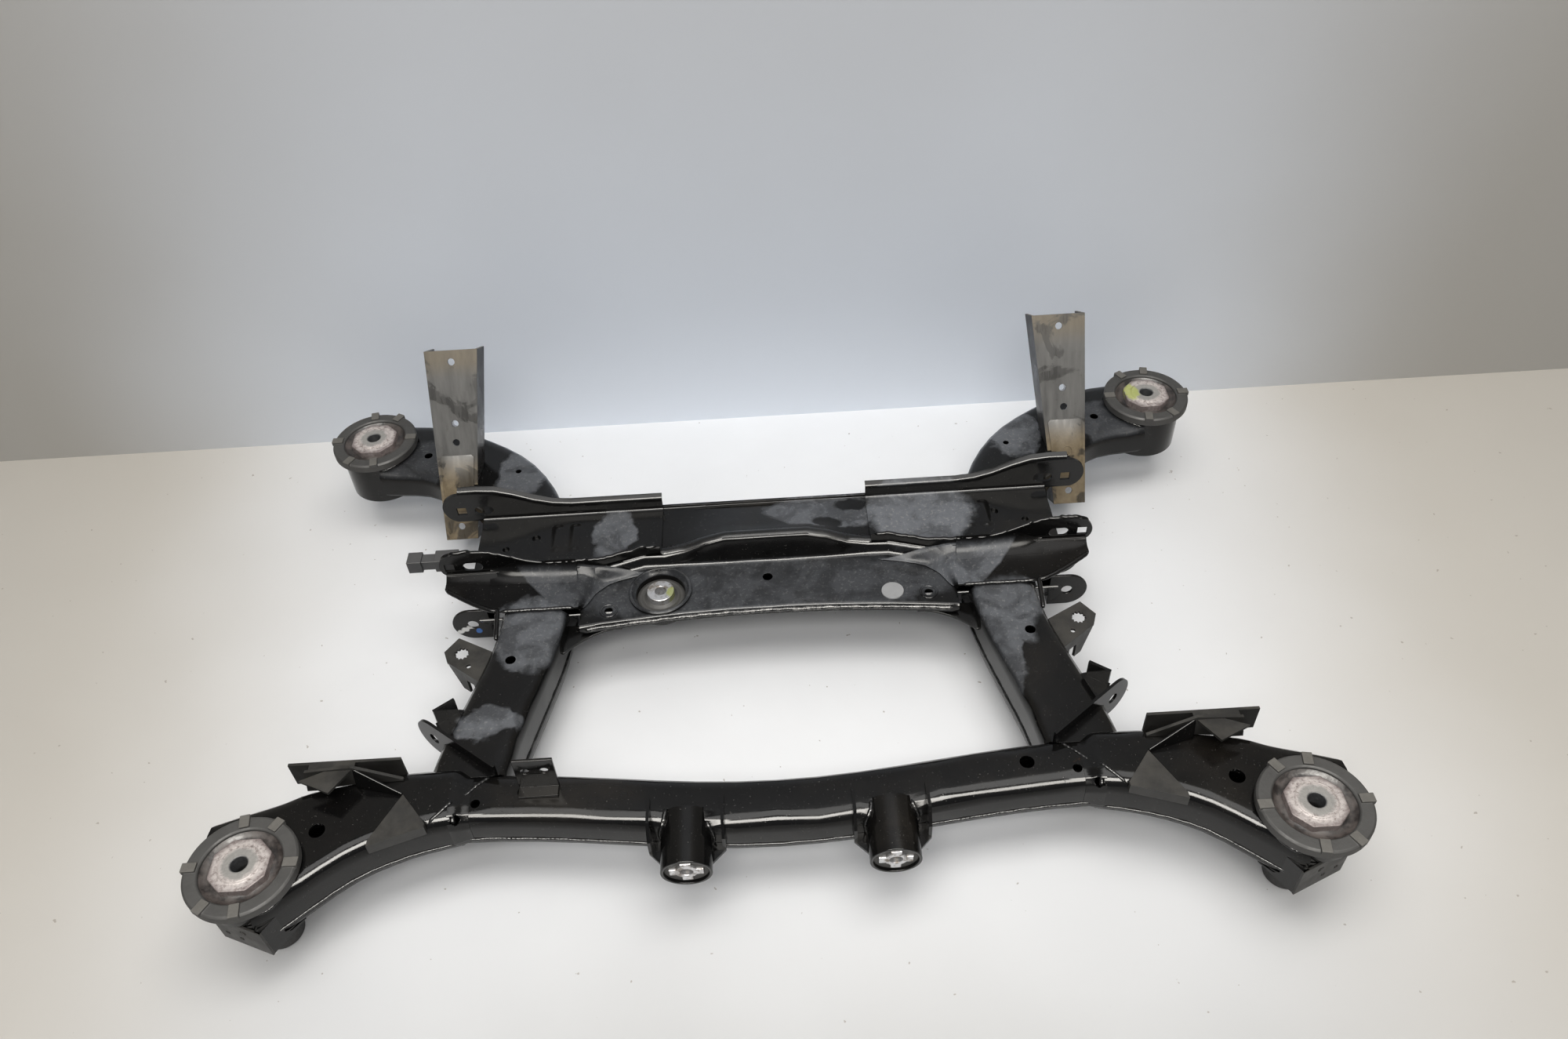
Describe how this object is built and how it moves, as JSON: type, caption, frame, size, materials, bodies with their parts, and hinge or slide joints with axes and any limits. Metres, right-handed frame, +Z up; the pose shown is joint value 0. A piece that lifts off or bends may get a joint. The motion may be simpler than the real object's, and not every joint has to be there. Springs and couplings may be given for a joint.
{
  "type": "rear axle subframe",
  "caption": "Welded rear axle subframe: bowed front tube, side rails, cross-member with link brackets, leaning posts and rubber body bushings at its corners.",
  "frame": {"origin": "on the floor, midway between the front and rear bushings and between the two sides", "axes": "+X to the right across the car, +Y towards the rear, +Z up"},
  "size_m": [1.068, 0.694, 0.2449],
  "materials": {
    "black_paint": "glossy black paint with an oily film and weld spatter",
    "dusty_black": "black paint under grey and golden dust",
    "bushing_rubber": "dusty dark grey rubber",
    "core_aluminium": "rough corroded casting",
    "bare_steel": "bare metal",
    "connector_plastic": "black moulded plastic",
    "plug_plastic": "grey moulded plastic"
  },
  "bodies": {
    "root": {"arm_bracket_left": "black_paint", "arm_bracket_right": "black_paint", "arm_gusset_left": "black_paint", "arm_gusset_right": "black_paint", "cross_pan": "black_paint", "cross_upper": "black_paint", "diff_core_left": "bare_steel", "diff_core_right": "bare_steel", "diff_gussets": "black_paint", "diff_rubber_left": "bushing_rubber", "diff_rubber_right": "bushing_rubber", "diff_sleeve_left": "black_paint", "diff_sleeve_right": "black_paint", "foot_bracket_left": "black_paint", "foot_bracket_right": "black_paint", "front_arm_lower_left": "black_paint", "front_arm_lower_right": "black_paint", "front_arm_upper_left": "black_paint", "front_arm_upper_right": "black_paint", "front_bushing_left": "bushing_rubber", "front_bushing_right": "bushing_rubber", "front_collar_left": "black_paint", "front_collar_right": "black_paint", "front_core_left": "core_aluminium", "front_core_right": "core_aluminium", "front_tube_lower": "black_paint", "front_tube_upper": "black_paint", "hose_bracket_left": "dusty_black", "hose_bracket_right": "dusty_black", "link_bracket_left": "black_paint", "link_bracket_right": "black_paint", "lower_ears_left": "black_paint", "lower_ears_right": "black_paint", "post_left": "dusty_black", "post_right": "dusty_black", "post_weld_nuts": "bare_steel", "rear_arm_lower_left": "black_paint", "rear_arm_lower_right": "black_paint", "rear_arm_upper_left": "black_paint", "rear_arm_upper_right": "black_paint", "rear_bushing_left": "bushing_rubber", "rear_bushing_right": "bushing_rubber", "rear_core_left": "core_aluminium", "rear_core_right": "core_aluminium", "rear_cup_left": "black_paint", "rear_cup_right": "black_paint", "rear_diff_core": "bare_steel", "rear_diff_rubber": "bushing_rubber", "rear_diff_sleeve": "black_paint", "shelf_plug": "plug_plastic", "side_rail_lower_left": "black_paint", "side_rail_lower_right": "black_paint", "side_rail_upper_left": "black_paint", "side_rail_upper_right": "black_paint", "small_bracket": "black_paint", "trailing_bracket_left": "black_paint", "trailing_bracket_right": "black_paint", "wing_scoop_left": "black_paint", "wing_scoop_right": "black_paint", "wiring_connector": "connector_plastic"}
  },
  "joints": []
}
